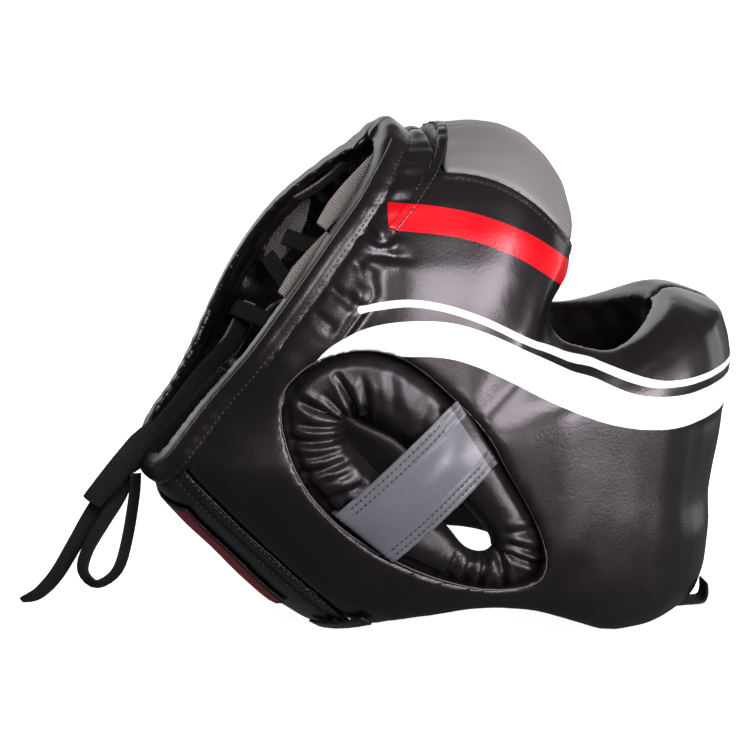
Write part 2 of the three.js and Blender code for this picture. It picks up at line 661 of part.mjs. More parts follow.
const tabRows = curveThrough(chinTab, curveSteps.chinTab).map((p) => ({
  point: new THREE.Vector3(p.x, chinTabPlace.y, p.y),
  across: new THREE.Vector3(0, 1, 0),
}));
addPiece('chin_tab', solid(strip(tabRows, chinTabPlace.width, -webbing / 2, webbing / 2)), 'blackWebbing');

export default model;
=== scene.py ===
import math
import bpy
import numpy as np
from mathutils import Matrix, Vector
from mathutils.bvhtree import BVHTree


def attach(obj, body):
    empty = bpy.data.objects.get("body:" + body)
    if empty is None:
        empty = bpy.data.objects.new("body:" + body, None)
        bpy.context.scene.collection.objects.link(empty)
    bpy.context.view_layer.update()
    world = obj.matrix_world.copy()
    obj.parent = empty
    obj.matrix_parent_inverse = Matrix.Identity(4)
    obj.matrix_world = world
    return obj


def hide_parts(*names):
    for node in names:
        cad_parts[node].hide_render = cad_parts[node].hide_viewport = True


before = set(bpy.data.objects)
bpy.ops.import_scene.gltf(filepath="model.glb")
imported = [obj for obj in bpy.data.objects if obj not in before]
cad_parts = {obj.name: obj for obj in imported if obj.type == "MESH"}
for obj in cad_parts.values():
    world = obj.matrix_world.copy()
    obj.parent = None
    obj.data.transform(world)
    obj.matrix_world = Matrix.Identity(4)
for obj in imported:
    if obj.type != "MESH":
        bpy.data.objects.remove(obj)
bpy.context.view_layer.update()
bpy.ops.object.select_all(action="DESELECT")
scene = bpy.context.scene
mm = 0.001

# camera at the photo's angle
view = {
    "target": Vector((-0.030, 0, 0.118)),
    "azimuth": -9,
    "elevation": 12,
    "distance": 1.5,
    "lens": 143.6,
}
turn = math.radians(view["azimuth"])
rise = math.radians(view["elevation"])
backward = Vector((math.sin(turn) * math.cos(rise), -math.cos(turn) * math.cos(rise), math.sin(rise)))
bpy.ops.object.camera_add(location=view["target"] + view["distance"] * backward)
camera = bpy.context.object
camera.rotation_euler = backward.to_track_quat("Z", "Y").to_euler()
camera.data.lens = view["lens"]
scene.camera = camera
scene.view_settings.view_transform = "Standard"
print("camera done")


def smoothStep(low, high, value):
    share = np.clip((value - low) / (high - low), 0, 1)
    return share * share * (3 - 2 * share)


# smooth line through a few rows, all columns alike
def curveThrough(rows, steps):
    rows = np.array(rows, float)
    last = len(rows) - 1
    line = []
    for at in np.linspace(0, last, steps):
        i = min(int(at), last - 1)
        t = at - i
        before, start = rows[max(i - 1, 0)], rows[i]
        end, after = rows[i + 1], rows[min(i + 2, last)]
        leave = (end - before) / 2
        arrive = (after - start) / 2
        line.append((2 * start - 2 * end + leave + arrive) * t ** 3
                    + (3 * end - 3 * start - 2 * leave - arrive) * t ** 2 + leave * t + start)
    return np.array(line)


# distance of each point from a line, how far along it that is, and the nearest place on it
def nearLine(points, line):
    best = np.full(len(points), 1e9)
    along = np.zeros(len(points))
    foot = np.zeros(points.shape)
    run = 0
    for start, end in zip(line[:-1], line[1:]):
        step = end - start
        length = np.linalg.norm(step)
        share = np.clip(((points - start) @ step) / length ** 2, 0, 1)
        gap = points - start - share[:, None] * step
        distance = np.linalg.norm(gap, axis=1)
        nearer = distance < best
        best[nearer] = distance[nearer]
        along[nearer] = run + share[nearer] * length
        foot[nearer] = points[nearer] - gap[nearer]
        run += length
    return best, along, foot


# how far inside a stripe of even width each point lies, negative outside
def stripeDepth(points, name):
    row = curveThrough(lines[name], 80)
    lead = 30
    first = row[0] + (row[0] - row[1]) / np.linalg.norm(row[0] - row[1]) * lead
    last = row[-1] + (row[-1] - row[-2]) / np.linalg.norm(row[-1] - row[-2]) * lead
    gap, along, _ = nearLine(points, np.vstack([first, row, last]))
    total = np.sum(np.linalg.norm(np.diff(row, axis=0), axis=1))
    ends = np.minimum(along - lead, total + lead - along)
    return np.minimum(stripeHalf[name] - gap, ends)


# creases and ridges in the side view: a valley with a puffed bank on each side
def foldHeight(points, folds):
    height = np.zeros(len(points))
    for fromX, fromZ, toX, toZ, width, depth in folds:
        start = np.array((fromX, fromZ))
        step = np.array((toX, toZ)) - start
        length = np.linalg.norm(step)
        share = ((points - start) @ step) / length ** 2
        off = np.abs((points - start) @ np.array((-step[1], step[0])) / length)
        taper = smoothStep(-0.12, 0.2, share) * smoothStep(1.15, 0.7, share)
        bank = np.exp(-((off - 2.2 * width) / (1.2 * width)) ** 2)
        height += depth * taper * (np.exp(-(off / width) ** 2) - 0.45 * bank)
    return height


# slow swelling of foam under leather
def swell(points, lengths):
    height = np.zeros(len(points))
    for turnBy, length in enumerate(lengths):
        along = np.array((math.cos(turnBy * 2.1), math.sin(turnBy * 1.3 + 0.4), math.sin(turnBy * 2.1)))
        height += np.sin(points @ along * 2 * math.pi / length + 1.7 * turnBy)
    return height / len(lengths)


def selectOnly(piece):
    bpy.ops.object.select_all(action="DESELECT")
    piece.select_set(True)
    bpy.context.view_layer.objects.active = piece


def pointsOf(piece, what="co"):
    flat = np.empty(len(piece.data.vertices) * 3)
    piece.data.vertices.foreach_get(what, flat)
    return flat.reshape(-1, 3)


def movePoints(piece, points):
    piece.data.vertices.foreach_set("co", points.ravel())
    piece.data.update()


def applyModifier(piece, kind, **settings):
    selectOnly(piece)
    bpy.ops.object.modifier_add(type=kind)
    modifier = piece.modifiers[-1]
    for key, value in settings.items():
        setattr(modifier, key, value)
    bpy.ops.object.modifier_apply(modifier=modifier.name)


# own copy of a CAD node, closed up at its doubled corners
def copyNode(pieceName, nodeName):
    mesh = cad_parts[nodeName].data.copy()
    mesh.materials.clear()
    piece = bpy.data.objects.new(pieceName, mesh)
    scene.collection.objects.link(piece)
    selectOnly(piece)
    bpy.ops.object.mode_set(mode="EDIT")
    bpy.ops.mesh.select_all(action="SELECT")
    bpy.ops.mesh.remove_doubles(threshold=1e-5)
    bpy.ops.object.mode_set(mode="OBJECT")
    return piece


# even skin with soft edges: maybe a first light smoothing, then one that moves no point further than cap
def soften(piece, form):
    applyModifier(piece, "REMESH", mode="VOXEL", voxel_size=form["voxel"] * mm)
    if "first" in form:
        applyModifier(piece, "SMOOTH", factor=0.5, iterations=form["first"])
    before = pointsOf(piece)
    applyModifier(piece, "SMOOTH", factor=0.5, iterations=form["rounds"])
    shift = pointsOf(piece) - before
    reach = np.linalg.norm(shift, axis=1, keepdims=True)
    shift *= np.minimum(1, form["cap"] * mm / np.maximum(reach, 1e-9))
    movePoints(piece, before + shift)
    bpy.ops.object.shade_smooth()


def setMark(piece, name, values):
    mark = piece.data.attributes.new(name, "FLOAT", "POINT")
    mark.data.foreach_set("value", values.astype(np.float32))


def setFlow(piece, name, values):
    flow = piece.data.attributes.new(name, "FLOAT_VECTOR", "POINT")
    flow.data.foreach_set("vector", values.astype(np.float32).ravel())


def finishPiece(piece, nodes, material):
    piece.data.materials.clear()
    piece.data.materials.append(material)
    if nodes:
        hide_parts(*nodes)
    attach(piece, "root")
    print(piece.name, "done,", len(piece.data.polygons), "faces")


# sRGB hex to the linear colour that shaders take
def hexColour(code):
    parts = [int(code[i:i + 2], 16) / 255 for i in (0, 2, 4)]
    return [p / 12.92 if p < 0.04045 else ((p + 0.055) / 1.055) ** 2.4 for p in parts] + [1]


def newMaterial(name):
    material = bpy.data.materials.new(name)
    material.use_nodes = True
    return material


def addNode(material, kind, settings, inputs):
    tree = material.node_tree
    node = tree.nodes.new(kind)
    for key, value in settings.items():
        setattr(node, key, value)
    for key, value in inputs.items():
        if isinstance(value, bpy.types.NodeSocket):
            tree.links.new(value, node.inputs[key])
        else:
            node.inputs[key].default_value = value
    return node.outputs


def feedShader(material, inputs):
    shader = material.node_tree.nodes["Principled BSDF"]
    for key, value in inputs.items():
        if isinstance(value, bpy.types.NodeSocket):
            material.node_tree.links.new(value, shader.inputs[key])
        else:
            shader.inputs[key].default_value = value


# leather: pebbled grain of about 1.3 mm, slow changes of gloss, a little paler in slow random patches
def makeLeather(name, dark, pale, rough, grain, marks=()):
    material = newMaterial(name)
    place = addNode(material, "ShaderNodeTexCoord", {}, {})["Object"]
    cells = addNode(material, "ShaderNodeTexVoronoi", {"feature": "SMOOTH_F1"},
                    {"Vector": place, "Scale": 1 / (1.3 * mm), "Smoothness": 0.6})["Distance"]
    creases = addNode(material, "ShaderNodeTexNoise", {},
                      {"Vector": place, "Scale": 1 / (7 * mm), "Detail": 4.0})["Fac"]
    clouds = addNode(material, "ShaderNodeTexNoise", {},
                     {"Vector": place, "Scale": 1 / (34 * mm), "Detail": 3.0})["Fac"]
    height = addNode(material, "ShaderNodeMath", {"operation": "MULTIPLY_ADD"},
                     {0: creases, 1: 1.5, 2: cells})["Value"]
    bump = addNode(material, "ShaderNodeBump", {},
                   {"Strength": grain, "Distance": 0.16 * mm, "Height": height})["Normal"]
    tint = addNode(material, "ShaderNodeMix", {"data_type": "RGBA"},
                   {"Factor": clouds, "A": hexColour(dark), "B": hexColour(pale)})[2]
    for markName, code in marks:
        mark = addNode(material, "ShaderNodeAttribute", {"attribute_name": markName}, {})["Fac"]
        inside = addNode(material, "ShaderNodeMapRange", {},
                         {"Value": mark, "From Min": -0.12, "From Max": 0.12})["Result"]
        tint = addNode(material, "ShaderNodeMix", {"data_type": "RGBA"},
                       {"Factor": inside, "A": tint, "B": hexColour(code)})[2]
    gloss = addNode(material, "ShaderNodeMapRange", {},
                    {"Value": clouds, "From Min": 0.3, "From Max": 0.7,
                     "To Min": rough - 0.05, "To Max": rough + 0.06})["Result"]
    feedShader(material, {"Base Color": tint, "Roughness": gloss, "Normal": bump,
                          "Specular IOR Level": 0.5, "Specular Tint": hexColour("fff1fb")})
    return material


# webbing and lace: ribs across the strip and threads along it, read from the strip's own flow attribute,
# with painted shade in the grooves and a painted highlight on the rib tops
def makeWeaveWithPaintedShade(name, dark, pale, rib, thread, depth):
    material = newMaterial(name)
    flow = addNode(material, "ShaderNodeAttribute", {"attribute_name": "flow"}, {})["Vector"]
    split = addNode(material, "ShaderNodeSeparateXYZ", {}, {"Vector": flow})
    waves = []
    for axis, pitch in (("X", rib), ("Y", thread)):
        phase = addNode(material, "ShaderNodeMath", {"operation": "MULTIPLY"},
                        {0: split[axis], 1: 2 * math.pi / (pitch * mm)})["Value"]
        waves.append(addNode(material, "ShaderNodeMath", {"operation": "SINE"}, {0: phase})["Value"])
    weave = addNode(material, "ShaderNodeMath", {"operation": "MULTIPLY"},
                    {0: waves[0], 1: waves[1]})["Value"]
    height = addNode(material, "ShaderNodeMath", {"operation": "MULTIPLY_ADD"},
                     {0: waves[0], 1: 0.7, 2: weave})["Value"]
    # painted shade and highlight: colour runs from dark in the grooves to pale on the raised ribs
    share = addNode(material, "ShaderNodeMapRange", {},
                    {"Value": height, "From Min": -1.5, "From Max": 1.5})["Result"]
    tint = addNode(material, "ShaderNodeMix", {"data_type": "RGBA"},
                   {"Factor": share, "A": hexColour(dark), "B": hexColour(pale)})[2]
    bump = addNode(material, "ShaderNodeBump", {},
                   {"Strength": 0.8, "Distance": depth * mm, "Height": height})["Normal"]
    feedShader(material, {"Base Color": tint, "Roughness": 0.72, "Normal": bump,
                          "Specular IOR Level": 0.25})
    return material


# twisted sewing thread: slight gloss and ply marks
def makeThread(name, dark, pale):
    material = newMaterial(name)
    place = addNode(material, "ShaderNodeTexCoord", {}, {})["Object"]
    plies = addNode(material, "ShaderNodeTexNoise", {},
                    {"Vector": place, "Scale": 1 / (0.5 * mm), "Detail": 2.0})["Fac"]
    tint = addNode(material, "ShaderNodeMix", {"data_type": "RGBA"},
                   {"Factor": plies, "A": hexColour(dark), "B": hexColour(pale)})[2]
    bump = addNode(material, "ShaderNodeBump", {},
                   {"Strength": 0.5, "Distance": 0.1 * mm, "Height": plies})["Normal"]
    feedShader(material, {"Base Color": tint, "Roughness": 0.55, "Normal": bump})
    return material


# smooth shiny panels with printed stripes
stripeInks = (("whiteMark", "e4e5e8"), ("redMark", "c80010"))
panelLeather = makeLeather("black leather", "0e0b0c", "141112", 0.29, 0.22, stripeInks)
# bindings and the back, a little grainier
trimLeather = makeLeather("black trim leather", "0e0b0c", "151213", 0.31, 0.3)
# soft rings of the ears, duller, so that the gathers show
padLeather = makeLeather("black pad leather", "0c090a", "131011", 0.38, 0.3)
# dull grey brow
greyLeather = makeLeather("grey leather", "625e60", "6d696b", 0.5, 0.25)
# shiny grey straps with a black lining and end
strapLeather = makeLeather("strap leather", "505157", "5e5f66", 0.28, 0.2, (("endMark", "141112"),))
# rough black flap with a red field
patchLeather = makeLeather("red patch", "141213", "1c191a", 0.5, 0.5, (("redMark", "d81022"),))
# pale raw edge that draws a thin line round the openings, partly a painted highlight along the rim
cutEdgeWithPaintedHighlight = makeLeather("cut leather edge with painted highlight", "393637", "575254", 0.6, 0.6)
# ribbed loops, paler than the laces, and lightened further as painted light for the shaded inside of the
# crown
webbing = makeWeaveWithPaintedShade("black webbing", "363231", "948c8a", 1.3, 1.1, 0.25)
# black lace, with painted shade in its grooves and a painted highlight on its ribs
lace = makeWeaveWithPaintedShade("black lace", "0c0a0b", "1e1c1e", 1.1, 1.3, 0.25)
# stitches, a little paler than the leather
blackThread = makeThread("black thread", "100e0f", "282526")
print("materials done")

# lines of the side view, millimetres
lines = {
    "crownRight": [(-26, 243), (-45, 217), (-66, 191.5), (-96, 152.5), (-124, 115.5), (-149, 82)],
    "crownLeft": [(-26, 243), (-53, 220.5), (-75.5, 199.5), (-94, 172.5), (-107, 146), (-119, 122),
                  (-130, 103), (-149, 82)],
    "rearSeam": [(-133, 90), (-97, 53), (-63, 21), (-46, 2)],
    "browSeam": [(-5, 226.5), (10, 225), (24, 220.5), (38, 211.5), (50, 200), (58, 191), (65, 182)],
    "tape": [(2, 246), (-6.6, 232), (-19.8, 217.5), (-33, 204)],
    "whiteBand": [(-74, 126), (-62, 143), (-42, 153.5), (-15, 154.5), (8, 148), (40, 131), (75, 116),
                  (105, 110), (132, 111), (160, 116)],
    "thinLine": [(-52, 168), (-26, 171), (5, 163), (40, 145), (75, 130), (105, 124), (132, 125),
                 (160, 130)],
    "redBand": [(-34, 209), (-12, 207), (8, 203), (28, 195), (46, 183.5), (66, 168)],
    "eyeEdge": [(66, 173), (54, 168), (46, 159), (50, 148), (60, 141), (74, 138), (90, 141.5),
                (106, 150), (122, 158), (140, 161)],
    "earRim": [(-44, 52.5), (-63, 67.5), (-78, 85.5), (-86, 105), (-86.5, 128), (-70, 144), (-47, 149),
               (-25, 141), (4, 113), (18, 89.5), (30.5, 67), (37, 47), (32.5, 34.5), (14.5, 31.5),
               (-5, 35.5), (-25, 43), (-44, 52.5)],
    "earHole": [(-36, 81), (-50, 96), (-60, 106), (-64, 113), (-62, 118), (-54, 122), (-45, 117),
                (-35, 107), (-13, 86), (1, 72), (11, 60), (14, 52), (9, 46), (1, 48), (-7, 54), (-20, 66),
                (-36, 81)],
}
stripeHalf = {"whiteBand": 8, "thinLine": 1.6, "redBand": 6}  # half widths
formCentre = np.array((-27, 0, 91))  # middle of the padded form
intoPanel = np.array((0.79, -0.61))  # from the crown edge into the panels
browOut = np.array((0.54, 0.84))  # from the brow seam towards the brow panel
bindingWidth = 8.7
bothSides = ((-1, "right", "crownRight"), (1, "left", "crownLeft"))


# how far the skin faces outwards: 1 on the outside, 0 on the lining
def outsideShare(points, normals):
    spread = (points - formCentre) * np.array((1, 1.3, 1))
    spread /= np.linalg.norm(spread, axis=1, keepdims=True)
    return smoothStep(-0.1, 0.35, np.einsum("ij,ij->i", normals, spread))


# draws the skin next to a seam onto the seam line, or a little over it
def closeSeam(points, line, over=0):
    gap, _, foot = nearLine(points[:, [0, 2]], line)
    share = smoothStep(2.6, 1.2, gap)
    points[:, [0, 2]] += (foot + over * browOut - points[:, [0, 2]]) * share[:, None]


# padded side shells: gathers under the binding, creases behind the tape and above the ear
shell = {
    "voxel": 1.4,
    "first": 6,
    "rounds": 40,
    "cap": 1.0,
    "swell": 0.45,
    # from x and z, to x and z, width, depth
    "folds": [
        (-38, 196, -46, 203, 2.0, -1.6), (-38, 196, -31, 203, 2.0, -1.4), (-46, 193, -25, 191, 2.2, -1.3),
        (-50, 189, -49, 178, 2.4, -1.4), (-44.5, 187, -44.5, 171, 2.6, -1.4),
        (-63, 177.5, -53, 167.5, 2.2, -1.3), (-56.5, 175.5, -49, 167.5, 2.2, -1.0),
        (-45, 174, -63, 150.5, 1.6, -1.5), (-72, 166, -62, 158, 2.4, -1.0), (-18, 239.6, 1, 242, 1.8, -1.3),
        (-20, 236.3, -3, 236.8, 1.7, -1.4), (-23, 231.6, -6, 231.6, 1.8, -1.7),
        (-29, 225.3, -9, 227.3, 1.7, -1.5), (-31, 222.4, -13, 225, 1.6, -1.2),
        (-38, 214, -20, 216, 1.8, -1.2), (62, 40, 30, 24, 7, -1.0), (90, 20, 70, 14, 6, -0.8),
    ],
    "creaseShare": 0.55,
    "gather": {"pitch": 15.5, "depth": 0.16, "reach": 9},
    "tuckUnder": 1.2,
    "lining": {"pitch": 21, "depth": 1.6, "reach": 38},
    "eyeLining": {"pitch": 11, "depth": 0.35, "reach": 26},
    "bar": {"fuller": 2.4, "leaner": 1.6, "higher": 3.2},
    "browLap": 0.4,
    "pastMidline": 0.25,
}


def shapeShell(piece, side, crownName):
    points = pointsOf(piece) / mm
    normals = pointsOf(piece, "normal")
    flat = points[:, [0, 2]]
    outside = outsideShare(points, normals)
    height = shell["swell"] * swell(points, (61, 83, 47))
    height += outside * shell["creaseShare"] * foldHeight(flat, shell["folds"])
    seam = curveThrough(lines[crownName], 60) + bindingWidth * intoPanel
    gap, along, _ = nearLine(flat, seam)
    tuck = shell["tuckUnder"] * smoothStep(1.8, 0.4, gap)
    gather = shell["gather"]
    wave = np.sin(2 * math.pi * along / gather["pitch"] + 1.3 * np.sin(along / 19) + side)
    wave *= gather["depth"] * np.exp(-gap / gather["reach"])
    height += outside * wave * smoothStep(6, 40, along)
    lining = shell["lining"]
    wave = np.sin(2 * math.pi * along / lining["pitch"] + 1.1 * np.sin(along / 31) - side)
    height += (1 - outside) * lining["depth"] * smoothStep(lining["reach"], 6, gap) * wave
    eye = shell["eyeLining"]
    gap, along, _ = nearLine(flat, curveThrough(lines["eyeEdge"], 60))
    wave = np.sin(2 * math.pi * along / eye["pitch"] + 1.8 * np.sin(along / 17))
    wave *= eye["depth"] * smoothStep(eye["reach"], 9, gap)
    height += (1 - outside) * smoothStep(0.5, 6, gap) * wave
    # the bar is a little fuller above and leaner below, and its top rim stands higher
    bar = shell["bar"]
    front = outside * smoothStep(100, 125, flat[:, 0])
    height += front * bar["fuller"] * smoothStep(112, 128, flat[:, 1])
    height -= front * bar["leaner"] * smoothStep(108, 98, flat[:, 1]) * smoothStep(40, 60, flat[:, 1])
    barTop = bar["higher"] * smoothStep(50, 64, flat[:, 0]) * smoothStep(20, 3, gap) * (flat[:, 1] < 164)
    moved = points + normals * height[:, None]
    moved[:, [0, 2]] -= intoPanel * tuck[:, None]
    moved[:, 2] += barTop
    closeSeam(moved, curveThrough(lines["browSeam"], 60), shell["browLap"])
    # the two shells meet on the midline, a hair past it
    meet = smoothStep(3, 1.4, np.abs(points[:, 1]))
    moved[:, 1] -= meet * (moved[:, 1] + side * shell["pastMidline"])
    movePoints(piece, moved * mm)
    white = np.maximum(stripeDepth(flat, "whiteBand"), stripeDepth(flat, "thinLine"))
    setMark(piece, "whiteMark", np.where(outside > 0.4, white, -5))
    setMark(piece, "redMark", np.where(outside > 0.4, stripeDepth(flat, "redBand"), -5))


shells = {}
for side, word, crownName in bothSides:
    piece = copyNode("padded_shell_" + word, "shell_" + word)
    soften(piece, shell)
    shapeShell(piece, side, crownName)
    finishPiece(piece, ["shell_" + word], panelLeather)
    shells[word] = piece

# grey brow panel: gathers where it meets the tape
forehead = {
    "voxel": 1.3,
    "first": 6,
    "rounds": 40,
    "cap": 1.0,
    "swell": 0.35,
    "pleat": {"pitch": 9.5, "depth": 0.3, "reach": 8},
}
piece = copyNode("padded_forehead", "forehead_panel")
soften(piece, forehead)
points = pointsOf(piece) / mm
normals = pointsOf(piece, "normal")
tape = curveThrough(lines["tape"], 40)
gap, _, _ = nearLine(points[:, [0, 2]], tape)
height = forehead["swell"] * swell(points, (52, 71, 44))
fromSeam, _, _ = nearLine(points[:, [0, 2]], curveThrough(lines["browSeam"], 40))
pleat = forehead["pleat"]
wave = np.sin(points[:, 1] * 2 * math.pi / pleat["pitch"] + 1.6 * np.sin(points[:, 1] / 9))
height += pleat["depth"] * np.exp(-gap / pleat["reach"]) * smoothStep(2, 10, fromSeam) * wave
moved = points + normals * height[:, None]
closeSeam(moved, curveThrough(lines["browSeam"], 60))
movePoints(piece, moved * mm)
finishPiece(piece, ["forehead_panel"], greyLeather)
browPanel = piece

# ear pads: deep gathers at the two tight ends of the ring
earPad = {
    "voxel": 1.0,
    "rounds": 30,
    "cap": 0.9,
    "swell": 0.3,
    "plump": {"right": 1.6, "left": 5},
    "tuck": 3.0,
    # share of the way from the rim to the hole, rise
    "lift": [(0, 0), (0.05, 6.5), (0.22, 5), (0.5, 3.5), (0.8, 3), (1, 0.5)],
    # x, z, reach, how much fuller there
    "closing": {
        "right": [(-62, 118, 10, 4), (-14, 58, 9, 4)],
        "left": [(-57, 118, 17, 5), (-4, 60, 14, 8)],
    },
    # as for the shells
    "folds": [
        (-47, 116, -51, 137, 1.6, -1.6), (-52, 118, -62.5, 138, 1.5, -2.3), (-56, 117, -69, 129, 1.4, -1.5),
        (-58, 115, -81, 126, 1.8, -2.4), (-60, 111, -82, 115, 1.3, -1.4), (-60, 107, -86, 106.5, 1.7, -2.3),
        (-60, 102, -79, 99, 1.3, -1.2), (-59, 98, -80, 91, 1.9, -2.0), (-57, 92, -72, 88, 1.5, -0.9),
        (-51, 86, -69, 79, 2.2, -1.4), (-36, 121, -38, 141, 2.4, -0.8), (-24, 113, -20, 130, 2.8, -0.6),
        (-6, 49, -11, 39, 1.8, -1.6), (8.5, 46, 5.5, 31, 1.6, -2.2), (15, 48, 19, 31, 1.6, -2.2),
        (17.5, 50, 35.5, 41.5, 1.6, -2.2), (18, 55, 37, 47, 1.7, -2.0), (16, 60, 33, 60, 2.0, -1.2),
        (2, 48, -3, 34, 1.7, -1.6),
    ],
}
for word in ("right", "left"):
    piece = copyNode("padded_ear_" + word, "ear_pad_" + word)
    soften(piece, earPad)
    points = pointsOf(piece) / mm
    normals = pointsOf(piece, "normal")
    flat = points[:, [0, 2]]
    outside = smoothStep(-0.15, 0.3, normals[:, 1] * np.sign(points[:, 1]))
    fromRim, _, rimFoot = nearLine(flat, curveThrough(lines["earRim"], 160))
    fromHole, _, _ = nearLine(flat, curveThrough(lines["earHole"], 120))
    share = fromRim / (fromRim + fromHole + 0.01)
    inwards = (flat - rimFoot) / np.maximum(fromRim, 0.5)[:, None]
    plump = earPad["plump"][word] * smoothStep(0.4, 1, share)
    for x, z, reach, more in earPad["closing"][word]:
        near = np.exp(-((flat[:, 0] - x) ** 2 + (flat[:, 1] - z) ** 2) / (2 * reach ** 2))
        plump += more * near * smoothStep(0.35, 1, share)
    shift = inwards * (plump - earPad["tuck"] * smoothStep(3.5, 1, fromRim))[:, None]
    height = earPad["swell"] * swell(points, (27, 39, 33)) + outside * foldHeight(flat, earPad["folds"])
    rise = np.interp(share, *zip(*earPad["lift"])) * outside
    moved = points + normals * height[:, None]
    moved[:, [0, 2]] += shift
    moved[:, 1] += np.sign(points[:, 1]) * rise
    movePoints(piece, moved * mm)
    finishPiece(piece, ["ear_pad_" + word], padLeather)

# rolled binding of the crown opening, puckered along its stitches
binding = {
    "voxel": 1.0,
    "first": 4,
    "rounds": 18,
    "cap": 0.9,
    "pitch": 8.5,
    "depth": {"right": 0.1, "left": 0.32},
    "lift": 0.4,
    "roll": 2.0,
    "lap": 2.4,
    "flare": 4.5,
}
piece = copyNode("rolled_crown_binding", "crown_binding")
soften(piece, binding)
points = pointsOf(piece) / mm
normals = pointsOf(piece, "normal")
isLeft = points[:, 1] > 0
rightGap, rightAlong, _ = nearLine(points[:, [0, 2]], curveThrough(lines["crownRight"], 80))
leftGap, leftAlong, _ = nearLine(points[:, [0, 2]], curveThrough(lines["crownLeft"], 80))
gap = np.where(isLeft, leftGap, rightGap)
along = np.where(isLeft, leftAlong, rightAlong)
wave = np.sin(2 * math.pi * along / binding["pitch"] + 2.1 * np.sin(along / 14) + np.sign(points[:, 1]))
wave *= 0.5 + 0.5 * np.sin(along / 23 + 0.7)
depth = np.where(isLeft, binding["depth"]["left"], binding["depth"]["right"])
middle = bindingWidth / 2
roll = binding["lift"] + binding["roll"] * np.clip(1 - ((gap - middle) / middle) ** 2, 0, 1)
moved = points + normals * (depth * wave + roll)[:, None]
lap = binding["lap"] * smoothStep(bindingWidth - 2.5, bindingWidth - 0.5, gap)
moved[:, [0, 2]] += intoPanel * lap[:, None]
moved[:, 2] += binding["flare"] * smoothStep(20, 2, along) * smoothStep(bindingWidth, 1, gap)
movePoints(piece, moved * mm)
finishPiece(piece, ["crown_binding"], trimLeather)
crownBinding = piece

# back panel with a sewn band along its seam
rear = {"voxel": 1.3, "first": 4, "rounds": 30, "cap": 0.9, "swell": 0.35, "band": 4.2, "groove": 0.9}
piece = copyNode("padded_rear", "rear_panel")
soften(piece, rear)
points = pointsOf(piece) / mm
normals = pointsOf(piece, "normal")
gap, _, _ = nearLine(points[:, [0, 2]], curveThrough(lines["rearSeam"], 40) - rear["band"])
height = rear["swell"] * swell(points, (43, 57, 38)) - rear["groove"] * np.exp(-(gap / 1.1) ** 2)
movePoints(piece, (points + normals * height[:, None]) * mm)
finishPiece(piece, ["rear_panel"], trimLeather)
rearPanel = piece


# nearest skin to a side-view place, seen from outside
class Skin:
    def __init__(self, pieces):
        points = []
        faces = []
        for piece in pieces:
            start = len(points)
            points.extend(v.co.copy() for v in piece.data.vertices)
            faces.extend([start + i for i in p.vertices] for p in piece.data.polygons)
        self.tree = BVHTree.FromPolygons(points, faces)

    def at(self, x, z, side):
        start = Vector((x, side * 140, z)) * mm
        place, normal, _, _ = self.tree.ray_cast(start, Vector((0, -side, 0)))
        if place is None:
            place, normal, _, _ = self.tree.find_nearest(Vector((x, side * 4, z)) * mm)
        return place, normal


# straps and strips: copies with rounded edges and a flow for their weave
def makeStrip(pieceName, nodeName, form):
    piece = copyNode(pieceName, nodeName)
    soften(piece, form)
    points = pointsOf(piece)
    centre = points.mean(axis=0)
    _, _, axes = np.linalg.svd(points - centre, full_matrices=False)
    setFlow(piece, "flow", (points - centre) @ axes.T)
    return piece


hiddenLoop = {"voxel": 0.7, "rounds": 10, "cap": 0.4}
for node in ("lace_loop_right_3", "lace_loop_left_1"):
    finishPiece(makeStrip("woven_" + node, node, hiddenLoop), [node], webbing)

# crossing laces sag into the crown between their loops
crossing = {"voxel": 0.6, "rounds": 8, "cap": 0.35, "sag": 13, "from": 62, "full": 30}
for number in (1, 2, 3, 4, 5):
    node = "lace_cross_%d" % number
    piece = makeStrip("woven_" + node, node, crossing)
    points = pointsOf(piece) / mm
    sag = crossing["sag"] * smoothStep(crossing["from"], crossing["full"], np.abs(points[:, 1]))
    points[:, [0, 2]] += intoPanel * sag[:, None]
    movePoints(piece, points * mm)
    finishPiece(piece, [node], lace)

chinTab = {"voxel": 0.6, "rounds": 10, "cap": 0.4}
finishPiece(makeStrip("folded_chin_tab", "chin_tab", chinTab), ["chin_tab"], lace)
hemTab = {"voxel": 0.6, "rounds": 10, "cap": 0.5}
for node in ("hem_tab_right", "hem_tab_left"):
    finishPiece(makeStrip("bound_" + node, node, hemTab), [node], trimLeather)

# tape pressed flat on the skin below it: the brow stripe runs on over its lower end
collarTape = {"voxel": 0.6, "rounds": 6, "cap": 0.3, "pressed": 0.4}
tapeStrip = makeStrip("raised_collar_tape", "collar_tape", collarTape)
points = pointsOf(tapeStrip)
below = Skin([shells["right"], shells["left"], browPanel])
for i, point in enumerate(points):
    foot = np.array(below.tree.find_nearest(Vector(point))[0])
    points[i] = foot + collarTape["pressed"] * (point - foot)
movePoints(tapeStrip, points)
points = points / mm
setMark(tapeStrip, "redMark", stripeDepth(points[:, [0, 2]], "redBand"))
setMark(tapeStrip, "whiteMark", np.full(len(points), -5.0))
finishPiece(tapeStrip, ["collar_tape"], panelLeather)

# closure flap: red field with a black border
flap = {
    "voxel": 0.9,
    "rounds": 14,
    "cap": 0.6,
    "half": 49.5,
    "middle": -147,
    "halfAngle": 18.6,
    "perDegree": 1.8,
}
piece = makeStrip("sewn_closure_flap", "closure_flap", flap)
points = pointsOf(piece) / mm
around = np.degrees(np.arctan2(points[:, 2] - formCentre[2], points[:, 0] - formCentre[0]))
fromEnd = flap["perDegree"] * (flap["halfAngle"] - np.abs(around - flap["middle"]))
setMark(piece, "redMark", np.minimum(flap["half"] - np.abs(points[:, 1]), fromEnd))
finishPiece(piece, ["closure_flap"], patchLeather)

